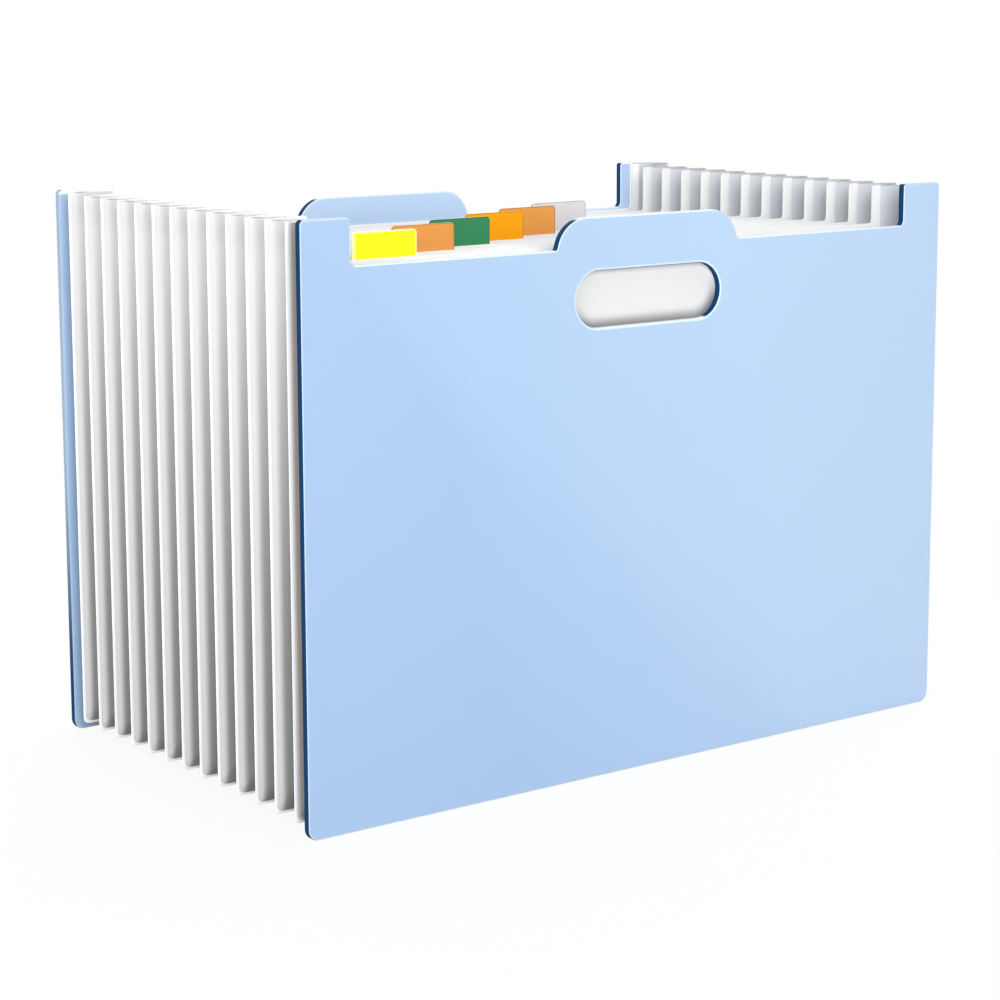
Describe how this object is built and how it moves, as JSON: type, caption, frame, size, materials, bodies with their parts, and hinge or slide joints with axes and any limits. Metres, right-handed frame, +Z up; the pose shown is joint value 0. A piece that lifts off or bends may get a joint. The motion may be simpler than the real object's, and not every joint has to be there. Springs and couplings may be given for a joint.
{
  "type": "accordion file folder",
  "caption": "Free-standing expanding file with stiff covers, hand holes, a pleated bellows of open-topped pockets and coloured index tabs; it collapses flat front to back.",
  "frame": {"origin": "on the floor, in the middle of the folder's width and depth, opened as in the picture", "axes": "+X along the covers to the right, +Y from the front cover to the back cover, +Z up"},
  "size_m": [0.33, 0.1946, 0.235],
  "materials": {
    "cover_blue": "satin",
    "sheet_white": "satin",
    "film_white": "satin",
    "tab_yellow": "satin",
    "tab_sand": "satin",
    "tab_green": "satin",
    "tab_orange": "satin",
    "tab_grey": "satin"
  },
  "bodies": {
    "back_cover": {"back_cover": "cover_blue", "back_lining": "sheet_white", "pleat_13": "film_white"},
    "front_cover": {"front_cover": "cover_blue", "front_lining": "sheet_white"},
    "divider_01": {"divider_01": "sheet_white", "pleat_01": "film_white", "index_tab_1": "tab_yellow"},
    "divider_02": {"divider_02": "sheet_white", "pleat_02": "film_white", "index_tab_2": "tab_sand"},
    "divider_03": {"divider_03": "sheet_white", "pleat_03": "film_white", "index_tab_3": "tab_green"},
    "divider_04": {"divider_04": "sheet_white", "pleat_04": "film_white", "index_tab_4": "tab_orange"},
    "divider_05": {"divider_05": "sheet_white", "pleat_05": "film_white", "index_tab_5": "tab_sand"},
    "divider_06": {"divider_06": "sheet_white", "pleat_06": "film_white", "index_tab_6": "tab_grey"},
    "divider_07": {"divider_07": "sheet_white", "pleat_07": "film_white"},
    "divider_08": {"divider_08": "sheet_white", "pleat_08": "film_white"},
    "divider_09": {"divider_09": "sheet_white", "pleat_09": "film_white"},
    "divider_10": {"divider_10": "sheet_white", "pleat_10": "film_white"},
    "divider_11": {"divider_11": "sheet_white", "pleat_11": "film_white"},
    "divider_12": {"divider_12": "sheet_white", "pleat_12": "film_white"}
  },
  "joints": [
    {"name": "collapse", "type": "slide", "parent": "back_cover", "child": "front_cover", "axis": [0, 1, 0], "range_m": [0, 0.156], "deforming": ["pleat_01", "pleat_02", "pleat_03", "pleat_04", "pleat_05", "pleat_06", "pleat_07", "pleat_08", "pleat_09", "pleat_10", "pleat_11", "pleat_12", "pleat_13"]},
    {"name": "divider_01_slide", "type": "slide", "parent": "back_cover", "child": "divider_01", "axis": [0, 1, 0], "range_m": [0, 0.1441]},
    {"name": "divider_02_slide", "type": "slide", "parent": "back_cover", "child": "divider_02", "axis": [0, 1, 0], "range_m": [0, 0.1321]},
    {"name": "divider_03_slide", "type": "slide", "parent": "back_cover", "child": "divider_03", "axis": [0, 1, 0], "range_m": [0, 0.1201]},
    {"name": "divider_04_slide", "type": "slide", "parent": "back_cover", "child": "divider_04", "axis": [0, 1, 0], "range_m": [0, 0.1081]},
    {"name": "divider_05_slide", "type": "slide", "parent": "back_cover", "child": "divider_05", "axis": [0, 1, 0], "range_m": [0, 0.0961]},
    {"name": "divider_06_slide", "type": "slide", "parent": "back_cover", "child": "divider_06", "axis": [0, 1, 0], "range_m": [0, 0.0841]},
    {"name": "divider_07_slide", "type": "slide", "parent": "back_cover", "child": "divider_07", "axis": [0, 1, 0], "range_m": [0, 0.0721]},
    {"name": "divider_08_slide", "type": "slide", "parent": "back_cover", "child": "divider_08", "axis": [0, 1, 0], "range_m": [0, 0.0601]},
    {"name": "divider_09_slide", "type": "slide", "parent": "back_cover", "child": "divider_09", "axis": [0, 1, 0], "range_m": [0, 0.0481]},
    {"name": "divider_10_slide", "type": "slide", "parent": "back_cover", "child": "divider_10", "axis": [0, 1, 0], "range_m": [0, 0.0361]},
    {"name": "divider_11_slide", "type": "slide", "parent": "back_cover", "child": "divider_11", "axis": [0, 1, 0], "range_m": [0, 0.0241]},
    {"name": "divider_12_slide", "type": "slide", "parent": "back_cover", "child": "divider_12", "axis": [0, 1, 0], "range_m": [0, 0.0121]}
  ],
  "couplings": [
    {"joint": "divider_01_slide", "follows": "collapse", "ratio": 0.92308},
    {"joint": "divider_02_slide", "follows": "collapse", "ratio": 0.84615},
    {"joint": "divider_03_slide", "follows": "collapse", "ratio": 0.76923},
    {"joint": "divider_04_slide", "follows": "collapse", "ratio": 0.69231},
    {"joint": "divider_05_slide", "follows": "collapse", "ratio": 0.61538},
    {"joint": "divider_06_slide", "follows": "collapse", "ratio": 0.53846},
    {"joint": "divider_07_slide", "follows": "collapse", "ratio": 0.46154},
    {"joint": "divider_08_slide", "follows": "collapse", "ratio": 0.38462},
    {"joint": "divider_09_slide", "follows": "collapse", "ratio": 0.30769},
    {"joint": "divider_10_slide", "follows": "collapse", "ratio": 0.23077},
    {"joint": "divider_11_slide", "follows": "collapse", "ratio": 0.15385},
    {"joint": "divider_12_slide", "follows": "collapse", "ratio": 0.076923}
  ]
}
